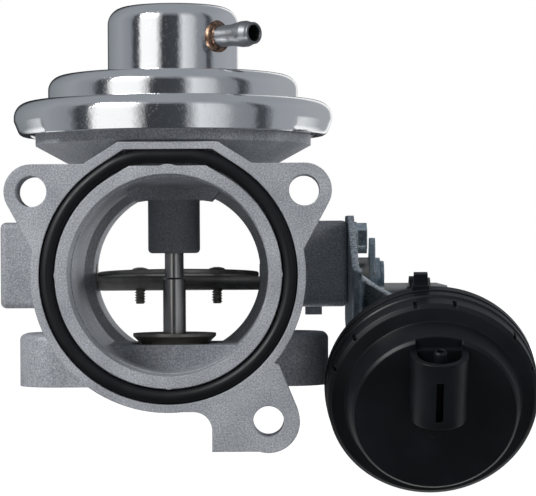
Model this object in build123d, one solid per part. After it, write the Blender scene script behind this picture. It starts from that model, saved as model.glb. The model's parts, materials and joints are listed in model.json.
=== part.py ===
from build123d import *
import os
from math import acos, atan2, cos, hypot, radians, sin

# Vacuum-operated exhaust gas recirculation valve with an intake shut-off flap.
# Row frame: origin on the manifold flange face at the centre of the air bore, +X to the flap lever,
# +Y along the bore towards the charge air hose, +Z up to the vacuum cap.  Millimetres.

# ---------------------------------------------------------------- driving dimensions
# air bore
OUTLET_R = 27.4          # machined mouth of the bore
OUTLET_DEPTH = 10.6
CHAMBER_R = 27.1         # as-cast mixing chamber
CHAMBER_END = 55.5
THROAT_R = 24.9          # bore that the flap closes
THROAT_START = 62.0
THROAT_END = 81.0
SPIGOT_BORE_R = 27.3
SPIGOT_BORE_START = 85.0
SPIGOT_R = 30.3
SPIGOT_START = 88.5
SPIGOT_END = 108.0
WALL_R = 31.8            # outside of the tube

# manifold flange
FLANGE_T = 12.0
FLANGE_R = 37.3
EAR_X, EAR_Z, EAR_R = 37.0, 22.8, 7.4
LOW_EAR_X, LOW_EAR_Z, LOW_EAR_R = 26.9, -39.8, 8.5
CROWN_Z = 36.1           # flat top of the flange
BOLT_HOLE_R = 4.2
GROOVE_IN, GROOVE_OUT, GROOVE_DEPTH = 30.75, 35.1, 3.4
RING_MEAN_R, RING_WIRE_R = 33.0, 1.95
GROOVE_FLAT = (29.6, 34.1)        # the groove runs straight under the crown between these heights
FLAT_HALF = (10.4, 12.0)          # half widths of its two straight edges
RING_FLAT_Z = 32.12               # middle of the ring's wire there
RING_SIDES = 12          # the round wire of the ring is drawn with flats

# exhaust gas side
STEM_Y = 42.0            # valve stem axis
BASE_LENGTH, BASE_WIDTH, BASE_CORNER = 88.6, 30.0, 12.0
BASE_TOP, BASE_BOTTOM = -17.0, -31.9
BASE_BOLT_X, BASE_TAP_R = 35.0, 3.4
SEAT_TOP = -20.1
SEAT_BOTTOM = -26.0
SEAT_OUT_R, SEAT_IN_R = 12.5, 9.8
GAS_PORT_R = 11.0
POPPET_R, POPPET_TOP = 12.0, -17.2
STEM_R, STEM_LOW_R, STEM_STEP = 2.75, 3.3, -1.2
BOSS_R, BOSS_BOTTOM = 7.5, 5.85
GUIDE_CLEARANCE = 0.05
VALVE_LIFT = 6.5

# diaphragm bowl and cap, radii about the stem axis
BOWL_FLOOR = 33.5
BOWL_R, BOWL_FLANGE_R = 39.7, 43.0
BOWL_FLANGE_LOW, BOWL_FLANGE_TOP = 41.15, 45.0
CLAMP_T = 1.6
CAP_T = 1.5
CAP_TOP = 76.7
CUP_R, TIER_R, RIM_R = 18.8, 36.0, 45.9
TIER_TOP, RIM_TOP, SKIRT_LOW = 56.9, 49.3, 39.5
LIP_Z = 40.35            # middle of the curled lip
PLATE_Z = 37.2           # middle of the membrane at its centre
NIPPLE_Z, NIPPLE_AZIMUTH, NIPPLE_END = 67.1, 45.0, 33.5

# flap
SHAFT_Y, SHAFT_Z = 75.0, -1.5
SHAFT_R = 4.0
FLAP_R, FLAP_T = 24.4, 1.45
FLAP_SCREW_X = 11.7
FLAP_SET = 3.0           # the open flap rests this far from level, front edge up
BOSS_LEFT, BOSS_RIGHT = -52.8, 51.0
BOSS_LOW, BOSS_HIGH = -10.4, 15.3
BOSS_DEPTH = 25.0
BUSH_R = 6.0
LEVER_X = 57.8
LEVER_T = 1.8
CRANK_R = 10.0           # lever pin from the shaft axis
FLAP_SWING = 85.0
PIN_R = 2.0

# vacuum capsule, tilted forwards and down
TILT = 22.5
CAPSULE_X = 72.6
ROD_REACH = 59.5         # from the foot of the crank's perpendicular to the capsule rim
SHELL_R = 29.9
RIM_DEPTH = 8.5
FACE_R = 23.0
FACE_U = 17.0            # front face of the capsule, along its axis from the rim's rear
BACK_U = -15.0           # rear face of the capsule
PLATE_U = -16.2          # middle of the bracket's mounting plate
SHEET_T = 2.0
ROD_R = 2.0
NECK_R = 5.2
STUD_V = 10.0            # studs above and below the rod
PISTON_U = -11.2
# hose port on the capsule's face
PORT_X = 0.5
PORT_TOP, PORT_LOW = 19.6, 0.65
PORT_WALL = 1.75
PORT_WIDTH, PORT_RISE = 15.6, 10.5
NOZZLE_R, NOZZLE_TOP, NOZZLE_RISE = 1.8, 21.5, 4.8

# ---------------------------------------------------------------- derived places
UP = Vector(0, -sin(radians(TILT)), cos(radians(TILT)))
FORWARD = Vector(0, -cos(radians(TILT)), -sin(radians(TILT)))
HALF_SWING = FLAP_SWING / 2
CHORD_DEPTH = CRANK_R * cos(radians(HALF_SWING))
ROD_OFFSET = (CRANK_R + CHORD_DEPTH) / 2          # rod line from the shaft axis
HALF_STROKE = CRANK_R * sin(radians(HALF_SWING))
FOOT = Vector(CAPSULE_X, SHAFT_Y, SHAFT_Z) - UP * ROD_OFFSET
CAPSULE_AT = FOOT + FORWARD * ROD_REACH
CAPSULE = Plane(origin=CAPSULE_AT, x_dir=(1, 0, 0), z_dir=FORWARD)
EYE_U = -(ROD_REACH + HALF_STROKE)                # rod eye at rest, along the capsule axis
PIN_AT = Vector(0, SHAFT_Y, SHAFT_Z) - UP * CHORD_DEPTH - FORWARD * HALF_STROKE
FACE = Plane(origin=(0, 0, 0), x_dir=(1, 0, 0), z_dir=(0, -1, 0))
STEM = Pos(0, STEM_Y, 0)
SHAFT = Pos(0, SHAFT_Y, SHAFT_Z)
SET = SHAFT * Rot(-FLAP_SET, 0, 0)
PORT_PLANE = Plane(origin=(0, PORT_TOP, FACE_U), x_dir=(1, 0, 0), z_dir=(0, -1, 0))
SCREW_PLACES = ((SHAFT_Y - 7.6, 10.0), (SHAFT_Y + 8.4, 10.0))
BOTTOM = (Align.CENTER, Align.CENTER, Align.MIN)
BEND_STEPS = 2           # cones in each bend of a sheet that shows


# ---------------------------------------------------------------- small helpers
def along_y(radius, start, end, x=0.0, z=0.0):
    """Cylinder parallel to Y between two depths."""
    return Pos(x, start, z) * Rot(-90, 0, 0) * Cylinder(radius, end - start, align=BOTTOM)


def along_x(radius, start, end, y=0.0, z=0.0):
    """Cylinder parallel to X between two sides."""
    return Pos(start, y, z) * Rot(0, 90, 0) * Cylinder(radius, end - start, align=BOTTOM)


def on_shaft(radius, start, end):
    """Cylinder on the flap shaft's axis between two sides."""
    return along_x(radius, start, end, SHAFT_Y, SHAFT_Z)


def along_z(radius, start, end, x=0.0, y=0.0):
    """Cylinder parallel to Z between two heights."""
    return Pos(x, y, start) * Cylinder(radius, end - start, align=BOTTOM)


def block(x, y, z):
    """Box between three pairs of limits."""
    size = [b - a for a, b in (x, y, z)]
    return Pos(x[0], y[0], z[0]) * Box(*size, align=(Align.MIN, Align.MIN, Align.MIN))


def turned(points):
    """Solid of revolution about Z from (radius, height) points."""
    return revolve(Plane.XZ * make_face(Polyline(*points, close=True)), Axis.Z)


def spun_sheet(points, radii, thickness, bend_steps=1):
    """Sheet of even thickness spun about Z; points are its middle line, radii its bends.

    Each bend is drawn as a few short cones, which keeps the facets few.
    """
    edges = FilletPolyline(*points, radius=radii).edges()
    places = []
    for edge in edges:
        steps = bend_steps if edge.geom_type == GeomType.CIRCLE else 1
        places += [(edge @ (i / steps), edge % (i / steps)) for i in range(steps)]
    places.append((edges[-1] @ 1, edges[-1] % 1))
    across = [Vector(-along.Y, along.X) * (thickness / 2) for _, along in places]
    left = [place + side for (place, _), side in zip(places, across)]
    right = [place - side for (place, _), side in zip(places, across)]
    return turned(left + right[::-1])


def sector(half_angle, reach, low, high):
    """Wedge about the +X direction, to keep a part of a ring."""
    tip_x, tip_y = reach * cos(radians(half_angle)), reach * sin(radians(half_angle))
    face = make_face(Polyline((0, 0), (tip_x, -tip_y), (2 * reach, 0), (tip_x, tip_y), close=True))
    return Pos(0, 0, low) * extrude(face, high - low)


def coil(mean_r, wire_r, start, height, turns):
    """Compression spring about Z.  The wire is drawn five-sided to keep the facets few."""
    path = Helix(pitch=height / turns, height=height, radius=mean_r)
    section = Plane(origin=path @ 0, z_dir=path % 0) * RegularPolygon(wire_r, 5)
    return Pos(0, 0, start) * sweep(section, path, is_frenet=True)


# ---------------------------------------------------------------- casting
def flange_outline():
    """Manifold flange: disc, flattened crown, two upper ears and one lower ear."""
    crown = make_face(Polyline((-13.5, 36.1), (13.5, 36.1), (23.0, 30.1), (0, 0), (-23.0, 30.1),
                               close=True))
    outline = Circle(FLANGE_R) + crown
    for side in (-1, 1):
        ring = Pos(side * EAR_X, EAR_Z) * Circle(EAR_R)
        web = make_face(Polyline((side * 22.5, EAR_Z + EAR_R), (side * 36.6, 6.6), (side * 12, 4),
                                 close=True))
        outline += make_hull((ring + web).edges())
    foot = make_face(Polyline((0, -37.1), (11.6, -37.1), (11.6, -47.9), (27, -47.9), (27, -20),
                              (0, -20), close=True))
    lobe = Pos(LOW_EAR_X, LOW_EAR_Z) * Circle(LOW_EAR_R)
    shoulder = make_face(Polyline((29.8, -24.4), (15, -20), (15, -40), close=True))
    outline += foot + make_hull((lobe + shoulder).edges())
    outline -= Pos(0, CROWN_Z + 5) * Rectangle(60, 10)
    corner = outline.vertices().sort_by_distance((11.6, -37.1, 0))[0]
    return fillet(corner, 5.0)


def flattened(radius, height, half_width):
    """Disc whose top is flat at a height, the flat a little wider than the chord."""
    disc = Circle(radius) - Pos(0, height + 10) * Rectangle(60, 20)
    crown = make_face(Polyline((-half_width, height), (half_width, height), (0, 0), close=True))
    return make_hull((disc + crown).edges())


def make_flange():
    """Flange plate with its O-ring groove and the nubs that hold the ring in."""
    plate = extrude(FACE * flange_outline(), -FLANGE_T)
    plate = chamfer(plate.faces().sort_by(Axis.Y)[-1].outer_wire().edges(), 0.8)
    low, high = GROOVE_FLAT
    land = flattened(GROOVE_IN, low, FLAT_HALF[0])
    groove = extrude(FACE * (flattened(GROOVE_OUT, high, FLAT_HALF[1]) - land), -GROOVE_DEPTH)
    nubs = [along_y(1.6, 0, GROOVE_DEPTH, x, z) for x, z in ((29.4, 0), (-29.4, 0), (0, -29.4))]
    nubs.append(along_y(5.0, 0, GROOVE_DEPTH, 0, low + 0.5 - 5.0))
    return plate - groove + nubs


def make_bowl():
    """Open dish under the diaphragm, cast on top of the tube."""
    dish = turned([(0, 20), (22, 20), (22, 27.2), (BOWL_R, 36.85), (BOWL_R, BOWL_FLANGE_LOW),
                   (BOWL_FLANGE_R, BOWL_FLANGE_LOW), (BOWL_FLANGE_R, BOWL_FLANGE_TOP),
                   (37.5, BOWL_FLANGE_TOP), (37.5, 40.0), (24, BOWL_FLOOR), (0, BOWL_FLOOR)])
    vents = [Rot(0, 0, turn) * Pos(0, 30, 0) * Cylinder(2.5, 90) for turn in (-40, 40)]
    keep = Pos(0, 0, 30) * Cylinder(26, 20)
    return STEM * (dish - [vent - keep for vent in vents])


def make_base():
    """Exhaust gas flange under the tube."""
    plan = Pos(0, STEM_Y, BASE_BOTTOM) * RectangleRounded(BASE_LENGTH, BASE_WIDTH, BASE_CORNER)
    foot = extrude(plan, BASE_TOP - BASE_BOTTOM)
    return fillet(foot.faces().sort_by(Axis.Z)[-1].edges(), 1.8)


def make_shaft_bosses():
    """Square blocks that carry the flap shaft on both sides of the throat."""
    half = BOSS_DEPTH / 2
    bar = block((BOSS_LEFT, BOSS_RIGHT), (SHAFT_Y - half, SHAFT_Y + half), (BOSS_LOW, BOSS_HIGH))
    return fillet(bar.edges(), 1.8)


def make_bores():
    """The stepped air passage, from the manifold to the hose."""
    hole = along_y(OUTLET_R, -1, OUTLET_DEPTH) + along_y(CHAMBER_R, OUTLET_DEPTH, CHAMBER_END)
    into = Pos(0, CHAMBER_END, 0) * Rot(-90, 0, 0)
    hole += into * Cone(CHAMBER_R, THROAT_R, THROAT_START - CHAMBER_END, align=BOTTOM)
    hole += along_y(THROAT_R, THROAT_START, THROAT_END)
    out = Pos(0, THROAT_END, 0) * Rot(-90, 0, 0)
    hole += out * Cone(THROAT_R, SPIGOT_BORE_R, SPIGOT_BORE_START - THROAT_END, align=BOTTOM)
    return hole + along_y(SPIGOT_BORE_R, SPIGOT_BORE_START, SPIGOT_END + 1)


def make_inside():
    """What stands inside the bore: guide boss, its pedestal, sloping ceiling pad and seat block."""
    boss = along_z(BOSS_R, BOSS_BOTTOM, 30, 0, STEM_Y)
    boss = fillet(boss.faces().sort_by(Axis.Z)[0].edges(), 1.2)
    half = [(14.5, 30), (13.4, 23.4), (11.0, 20.8), (8.4, 21.2)]
    outline = half + [(-x, z) for x, z in half[::-1]]
    pedestal = extrude(Plane.XZ * make_face(Polyline(*outline, close=True)), 8.5, both=True)
    pedestal = Pos(0, STEM_Y, 0) * pedestal
    ceiling = make_face(Polyline((OUTLET_DEPTH, 26.7), (33, 24.9), (58, 24.9), (58, 30), (OUTLET_DEPTH, 30),
                                 close=True))
    pad = extrude(Plane.YZ * ceiling, 11.5, both=True)
    seat_block = block((-20, 20), (27, 57), (-31, SEAT_TOP))
    return (boss + pedestal + pad + seat_block) & along_y(CHAMBER_R + 1.5, OUTLET_DEPTH, 60)


def make_housing():
    """Die-cast aluminium body in one piece."""
    body = make_flange() + along_y(WALL_R, FLANGE_T / 2, SPIGOT_START)
    body += along_y(SPIGOT_R, SPIGOT_START, SPIGOT_END)
    body += [make_bowl(), make_base(), make_shaft_bosses()]
    body += block((38.6, 43.6), (78, 86), (BOSS_LOW - 2.8, BOSS_LOW + 2))   # casting gate under the boss
    body -= make_bores()
    body += make_inside()
    body -= along_y(SPIGOT_R + 3, 101, 104) - along_y(SPIGOT_R - 1.0, 100, 105)   # clip groove
    for x, z in ((-EAR_X, EAR_Z), (EAR_X, EAR_Z), (LOW_EAR_X, LOW_EAR_Z)):
        body -= along_y(BOLT_HOLE_R, -1, FLANGE_T + 1, x, z)
        body -= along_y(EAR_R + 1.5, FLANGE_T, FLANGE_T + 18, x, z)               # bolt head room
    # stem guide and seal, valve seat and gas port
    body -= along_z(5.0, 7.0, 31.5, 0, STEM_Y)
    body -= along_z(3.6, 5.0, 8.0, 0, STEM_Y)
    body -= along_z(6.5, 31.0, BOWL_FLOOR + 1, 0, STEM_Y)
    body -= along_z(SEAT_OUT_R, SEAT_BOTTOM, SEAT_TOP + 1, 0, STEM_Y)
    body -= along_z(GAS_PORT_R, BASE_BOTTOM - 1, SEAT_BOTTOM, 0, STEM_Y)
    for side in (-1, 1):
        body -= along_z(BASE_TAP_R, BASE_BOTTOM - 1, BASE_TOP + 1, side * BASE_BOLT_X, STEM_Y)
    # shaft bores, bush pockets and bracket screw holes
    body -= on_shaft(SHAFT_R + 0.3, -32, 32)
    body -= on_shaft(BUSH_R, BOSS_LEFT - 1, -30) + on_shaft(BUSH_R, 30, BOSS_RIGHT + 1)
    for y, z in SCREW_PLACES:
        body -= along_x(2.5, BOSS_RIGHT - 10, BOSS_RIGHT + 1, y, z)
    return body



def make_o_ring():
    """Sealing ring of the manifold flange, standing proud of the face until it is squeezed."""
    corner_x, corner_z = sum(FLAT_HALF) / 2, RING_FLAT_Z
    touch = atan2(corner_z, corner_x) - acos(RING_MEAN_R / hypot(corner_x, corner_z))
    touch_x, touch_z = RING_MEAN_R * cos(touch), RING_MEAN_R * sin(touch)
    top = FilletPolyline((touch_x, touch_z), (corner_x, corner_z), (-corner_x, corner_z),
                         (-touch_x, touch_z), radius=12)
    round_part = ThreePointArc((-touch_x, touch_z), (0, -RING_MEAN_R), (touch_x, touch_z))
    level = Plane(origin=(0, GROOVE_DEPTH - RING_WIRE_R, 0), x_dir=(1, 0, 0), z_dir=(0, -1, 0))
    path = Wire([level.from_local_coords(edge) for edge in top.edges() + round_part.edges()])
    wire = Plane(origin=path @ 0, x_dir=(0, 1, 0), z_dir=path % 0) * RegularPolygon(RING_WIRE_R, RING_SIDES)
    return sweep(wire, path)


# ---------------------------------------------------------------- valve and diaphragm
def make_seat():
    """Hardened seat ring with a 45 degree lead."""
    return STEM * turned([(SEAT_IN_R, SEAT_BOTTOM), (SEAT_OUT_R, SEAT_BOTTOM), (SEAT_OUT_R, SEAT_TOP),
                          (SEAT_IN_R + 0.5, SEAT_TOP), (SEAT_IN_R, SEAT_TOP - 0.5)])


def make_poppet():
    """Disc valve with a 45 degree seating cone, welded to its stem."""
    rim = 0.8
    return STEM * turned([(STEM_LOW_R - 0.75, POPPET_TOP), (POPPET_R, POPPET_TOP),
                          (POPPET_R, POPPET_TOP - rim), (POPPET_R - 3.0, POPPET_TOP - rim - 3.0),
                          (STEM_LOW_R - 0.75, POPPET_TOP - rim - 3.0)])


def make_stem():
    """Ground stem with a thicker lower part and a threaded top."""
    return STEM * turned([(0, POPPET_TOP - 4.6), (2.2, POPPET_TOP - 4.6), (2.5, POPPET_TOP - 4.3),
                          (2.5, POPPET_TOP), (STEM_LOW_R, POPPET_TOP), (STEM_LOW_R, STEM_STEP - 0.5),
                          (STEM_R, STEM_STEP), (STEM_R, PLATE_Z - 1.6), (2.0, PLATE_Z - 1.6),
                          (2.0, PLATE_Z + 5.2), (0, PLATE_Z + 5.2)])


def make_stem_nut():
    """Lock nut that clamps the plates on the stem."""
    nut = extrude(RegularPolygon(4.0, 6), 3.0) - Cylinder(2.0, 20)
    return STEM * Pos(0, 0, PLATE_Z + 1.6) * nut


def make_plates():
    """Lower and upper diaphragm plates."""
    lower = spun_sheet([(2.0, PLATE_Z - 1.0), (24, PLATE_Z - 1.0), (26.0, PLATE_Z - 2.0)], [1.5], 1.2)
    upper = spun_sheet([(2.0, PLATE_Z + 1.0), (25.5, PLATE_Z + 1.0), (26.2, PLATE_Z + 7.0)], [2.5], 1.2)
    return STEM * lower, STEM * upper


def make_diaphragm():
    """Rubber membrane with its clamped bead and one convolution."""
    web = spun_sheet([(2.0, PLATE_Z), (29.5, PLATE_Z), (33.2, 41.5), (36.4, 45.8), (41.2, 45.8)],
                     [2.0, 2.0, 1.0], 0.8)
    bead = turned([(38.2, BOWL_FLANGE_TOP), (41.2, BOWL_FLANGE_TOP), (41.2, BOWL_FLANGE_TOP + CLAMP_T),
                   (38.2, BOWL_FLANGE_TOP + CLAMP_T)])
    return STEM * (web + bead)


def make_cap():
    """Stepped pressed-steel cap, crimped round the bowl flange by two curled side lips."""
    half = CAP_T / 2
    cup, tier, rim = CUP_R - half, TIER_R - half, RIM_R - half
    low_wall = 44.0
    cap = spun_sheet([(0, CAP_TOP - half), (cup, CAP_TOP - half), (cup, TIER_TOP - half),
                      (tier, TIER_TOP - half), (tier, RIM_TOP - half), (rim, RIM_TOP - half),
                      (rim, low_wall - 1.5)], [4.2, 1.4, 3.4, 1.2, 4.8], CAP_T, BEND_STEPS)
    skirt = turned([(rim - half, SKIRT_LOW), (rim + half, SKIRT_LOW), (rim + half, low_wall),
                    (rim - half, low_wall)])
    lip = spun_sheet([(rim, low_wall), (rim, LIP_Z), (41.4, LIP_Z)], [2.5], CAP_T, BEND_STEPS)
    for middle in (0, 90, 180, 270):      # straight skirt front and back, curled lips at the sides
        reach = 48.5 if middle in (90, 270) else 37.5
        wedge = Rot(0, 0, middle) * sector(reach, 60, 30, 45)
        cap += (skirt if reach > 40 else lip) & wedge
    hole = Rot(0, 0, NIPPLE_AZIMUTH - 90) * along_x(3.05, 10, 24, 0, NIPPLE_Z)
    return STEM * (cap - hole)


def on_nipple_axis(shape):
    """Moves a part made about Z onto the nipple's axis."""
    return STEM * Rot(0, 0, NIPPLE_AZIMUTH - 90) * Pos(0, 0, NIPPLE_Z) * Rot(0, 90, 0) * shape


def make_nipple():
    """Steel hose nipple with one rounded barb."""
    root, barb = CUP_R - 2.2, NIPPLE_END - 4.6
    tube = turned([(2.3, root), (3.05, root), (3.05, barb - 4), (3.65, barb), (3.65, barb + 1.6),
                   (3.1, NIPPLE_END - 0.5), (2.8, NIPPLE_END), (2.3, NIPPLE_END)])
    return on_nipple_axis(tube)


def make_braze():
    """Copper fillet that joins the nipple to the cup."""
    ring = turned([(3.05, 16.5), (4.9, 16.5), (4.8, 19.0), (4.1, 19.8), (3.4, 20.3), (3.05, 21.0)])
    return on_nipple_axis(ring) - STEM * Cylinder(CUP_R, 300)


# ---------------------------------------------------------------- flap
def make_shaft():
    """Flap shaft: half cut away in the throat to seat the plate, with a riveted stub for the lever."""
    shaft = on_shaft(SHAFT_R, -47, LEVER_X) + on_shaft(3.0, LEVER_X, LEVER_X + 4.6)
    collar = on_shaft(5.7, BOSS_RIGHT + SHEET_T + 1.3, LEVER_X)
    reach = THROAT_R - 0.3
    shaft -= SET * block((-reach, reach), (-6, 6), (0, 6))
    for side in (-1, 1):
        shaft -= SET * along_z(1.6, -8, 4, side * FLAP_SCREW_X)
    return shaft + collar


def make_flap():
    """Round flap plate on the flat, off centre so that it closes square in the throat."""
    plate = along_z(FLAP_R, 0, FLAP_T, 0, SHAFT_Z)
    plate = chamfer(plate.edges(), 0.3)
    for side in (-1, 1):
        plate -= along_z(1.6, -8, 4, side * FLAP_SCREW_X)
    return SET * plate


def make_flap_screws():
    """Two pan-head screws that stand out below the shaft."""
    head = turned([(0, 0), (2.75, 0), (2.75, 0.6), (2.2, 1.3), (1.0, 1.6), (0, 1.6)])
    head -= Pos(0, 0, 1.4) * Box(4.2, 0.8, 1.0)
    screw = Pos(0, 0, FLAP_T) * head + along_z(1.6, -8.0, FLAP_T)
    return SET * (Pos(-FLAP_SCREW_X, 0, 0) * screw + Pos(FLAP_SCREW_X, 0, 0) * screw)


def make_bush(start, end):
    """Plain bearing bush, or seal ring, for the shaft."""
    return on_shaft(BUSH_R, start, end) - on_shaft(SHAFT_R + 0.04, -60, 60)


def make_end_plug():
    """Pressed plug that closes the left bearing."""
    plug = on_shaft(BUSH_R, BOSS_LEFT + 0.6, BOSS_LEFT + 2.8)
    return plug - on_shaft(BUSH_R - 1.4, BOSS_LEFT, BOSS_LEFT + 1.4)


def make_lever():
    """Plated lever: a tail above the shaft and, one step further out, the crank arm."""
    side = Plane(origin=(LEVER_X, SHAFT_Y, SHAFT_Z), x_dir=(0, 1, 0), z_dir=(1, 0, 0))
    crank = (PIN_AT.Y - SHAFT_Y, PIN_AT.Z - SHAFT_Z)
    arm = make_hull((Circle(5.6) + Pos(*crank) * Circle(4.2)).edges())
    tail = make_hull((Circle(5.6) + Pos(-2.5, 9.0) * Circle(2.6)).edges())
    lever = extrude(side * tail, LEVER_T) + extrude(side.offset(LEVER_T - 0.3) * arm, LEVER_T)
    lever -= on_shaft(3.0, LEVER_X - 1, LEVER_X + 8)
    return lever - along_x(PIN_R - 0.4, LEVER_X - 1, LEVER_X + 8, PIN_AT.Y, PIN_AT.Z)


def make_shaft_rivet():
    """Peened ring that holds the lever on the shaft's stub."""
    start = LEVER_X + 2 * LEVER_T - 0.3
    return on_shaft(4.6, start, start + 1.2) - on_shaft(3.0, start - 1, start + 3)


def make_pin():
    """Crank pin, riveted in the lever, with a clip groove and a tapered lead."""
    root, end = LEVER_X + LEVER_T - 0.3, 82.4
    shoulder = root + LEVER_T
    pin = turned([(0, root - 0.6), (2.4, root - 0.6), (2.4, root), (PIN_R - 0.4, root),
                  (PIN_R - 0.4, shoulder), (PIN_R, shoulder), (PIN_R, 76.2), (1.4, 76.2), (1.4, 77.1),
                  (PIN_R, 77.1), (PIN_R, end - 3.4), (1.1, end), (0, end)])
    return Pos(0, PIN_AT.Y, PIN_AT.Z) * Rot(0, 90, 0) * pin


def make_pin_clip():
    """Push-on clip in the pin's groove."""
    ring = along_x(3.6, 76.3, 77.0, PIN_AT.Y, PIN_AT.Z) - along_x(1.4, 76, 79, PIN_AT.Y, PIN_AT.Z)
    return ring - block((76, 79), (PIN_AT.Y - 1.2, PIN_AT.Y + 1.2), (PIN_AT.Z - 6, PIN_AT.Z))


# ---------------------------------------------------------------- bracket
def make_bracket():
    """Folded sheet bracket from the right shaft boss to the back of the capsule."""
    wall_x = BOSS_RIGHT + SHEET_T / 2 - CAPSULE_X
    bend = FilletPolyline((22, PLATE_U), (wall_x, PLATE_U), (wall_x, PLATE_U - 70), radius=3.0)
    # the bend line runs along the capsule's up direction
    fold = Plane(origin=CAPSULE_AT, x_dir=(1, 0, 0), z_dir=UP * -1)
    sheet = extrude(fold * trace(bend, SHEET_T), 45, both=True)
    top = CAPSULE_AT + FORWARD * PLATE_U + UP * 28.0
    low = CAPSULE_AT + FORWARD * PLATE_U - UP * 13.0
    side = Plane(origin=(BOSS_RIGHT - 1, 0, 0), x_dir=(0, 1, 0), z_dir=(1, 0, 0))
    outline = make_face(Polyline((SHAFT_Y - 9, 16.8), (SHAFT_Y + 8, 16.8), (SHAFT_Y + 13.5, 11.0),
                                 (SHAFT_Y + 13.5, -15.0), (low.Y + 4, low.Z), (low.Y - 8, low.Z),
                                 (top.Y - 12, top.Z - 8), (top.Y - 2, top.Z), close=True))
    wall = extrude(side * fillet(outline.vertices().sort_by(Axis.Y)[-2:], 4.0), SHEET_T + 1.6)
    arm = make_face(Polyline((wall_x - 2, 28.4), (wall_x + 2.2, 26.8), (-14.4, 23.8), (-10.0, 21.2),
                             (-4, 17.0), (4, 15.6), (10, 12.6), (13.4, 7.0), (14.4, 0), (13.4, -7.0),
                             (9, -12.6), (-9, -13.4), (wall_x - 2, -13.4), close=True))
    arm = extrude(CAPSULE * Pos(0, 0, PLATE_U) * arm, 4, both=True)
    bracket = sheet & (wall + arm)
    bracket -= CAPSULE * Pos(0, 0, PLATE_U) * Cylinder(NECK_R + 0.5, 12)
    for v in (-STUD_V, STUD_V):
        bracket -= CAPSULE * Pos(0, v, PLATE_U) * Cylinder(2.7, 12)
    bracket -= on_shaft(BUSH_R + 0.4, 48, 56)
    for y, z in SCREW_PLACES:
        bracket -= along_x(2.8, 48, 56, y, z)
    return bracket


def make_bracket_screws():
    """Two hexagon flange screws that fix the bracket to the boss."""
    screws = None
    face = BOSS_RIGHT + SHEET_T
    for y, z in SCREW_PLACES:
        head = along_x(4.9, face, face + 0.9, y, z)
        head += Pos(face, y, z) * Rot(0, 90, 0) * extrude(RegularPolygon(4.6, 6), 3.9)
        screw = head + along_x(2.5, BOSS_RIGHT - 9, face, y, z)
        screws = screw if screws is None else screws + screw
    return screws


# ---------------------------------------------------------------- vacuum capsule
def make_rear_shell():
    """Rear half of the capsule, with the rod neck."""
    back = BACK_U
    shell = turned([(28.0, 0), (SHELL_R, 0), (SHELL_R, -2.6), (26.2, -2.6), (22.4, back + 1.6),
                    (20.8, back), (NECK_R, back), (NECK_R, back - 4.8), (3.4, back - 4.8),
                    (3.4, back + 2.0), (19.8, back + 2.0), (20.6, back + 2.8), (24.4, -2.0),
                    (28.0, -2.0)])
    rib = block((24.4, 27.2), (-0.8, 0.8), (-5.5, -2.0))
    shell += [Rot(0, 0, turn) * rib for turn in range(15, 360, 30)]
    shell += block((-5.4, -1.6), (28.4, 34.2), (-2.6, -0.8))       # snap tab
    shell += block((-5.8, -1.2), (28.4, 31.0), (-2.6, -0.2))
    return CAPSULE * shell


def make_front_shell():
    """Front half of the capsule: deep snap-on rim and raised round face with its gate mark."""
    u0, u1, u2 = 0.4, RIM_DEPTH, FACE_U
    shell = turned([(28.2, u0), (SHELL_R - 0.2, u0), (SHELL_R - 0.2, 3.0), (SHELL_R - 0.6, 3.4),
                    (SHELL_R - 0.7, u1 - 0.8), (SHELL_R - 1.8, u1), (FACE_R + 1.6, u1 + 0.9),
                    (FACE_R, u2 - 0.8), (FACE_R - 0.8, u2), (0, u2 + 0.3), (0, u2 - 1.9),
                    (FACE_R - 2.3, u2 - 2.1), (FACE_R - 0.4, u1 - 1.0), (26.6, u1 - 1.6), (27.2, 2.2),
                    (28.2, 2.2)])
    for turn in (-60, 0, 60):                 # snap segments of the upper half, each between two slits
        for edge in (79.4, 100.6):
            shell -= Rot(0, 0, turn + edge) * block((28.4, 31), (-0.5, 0.5), (5.0, u1 + 1))
    shell -= block((PORT_X - 6.3, PORT_X + 6.3), (PORT_TOP, 26.5), (u2 - 1.1, u2 + 4))
    shell += Pos(PORT_X - 0.8, -4.4, u2 - 0.4) * Cylinder(2.3, 1.3, align=BOTTOM)
    shell -= Pos(PORT_X, PORT_LOW + 9.5, 0) * Cylinder(1.0, u2 + 4, align=BOTTOM)
    return CAPSULE * shell


def make_port():
    """Shrouded hose nozzle welded on the capsule's face."""
    length = PORT_TOP - PORT_LOW
    port = extrude(PORT_PLANE * Pos(PORT_X, 0) * port_section(0.0), length)
    port -= extrude(PORT_PLANE * Pos(PORT_X, 0) * port_section(PORT_WALL), length - PORT_WALL)
    port -= block((PORT_X - 1.2, PORT_X + 0.7), (2.8, 14.5), (FACE_U + 6, FACE_U + 16))
    axis_u = FACE_U + NOZZLE_RISE
    port += Pos(PORT_X, PORT_LOW + 1, axis_u) * Rot(-90, 0, 0) * nozzle_body()
    port -= Pos(PORT_X, PORT_LOW + 8, axis_u) * Rot(-90, 0, 0) * Cylinder(1.15, 40, align=BOTTOM)
    port -= Pos(PORT_X, PORT_LOW + 9.5, 0) * Cylinder(1.0, axis_u, align=BOTTOM)
    dome = turned([(0, FACE_U - 6), (FACE_R - 0.8, FACE_U - 6), (FACE_R - 0.8, FACE_U), (0, FACE_U + 0.3)])
    return CAPSULE * (port - dome)


def port_section(inset):
    """Round-nosed section of the shroud, rising from the capsule's face."""
    radius = PORT_WIDTH / 2 - inset
    rise = PORT_RISE - PORT_WIDTH / 2
    return Pos(0, rise) * Circle(radius) + Pos(0, (rise - 0.4) / 2) * Rectangle(2 * radius, rise + 0.4)


def nozzle_body():
    """Straight hose nozzle with a rounded tip."""
    top = NOZZLE_TOP - PORT_LOW - 1
    return turned([(0, 0), (NOZZLE_R, 0), (NOZZLE_R, top - 0.6), (NOZZLE_R - 0.3, top), (0, top)])


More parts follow.
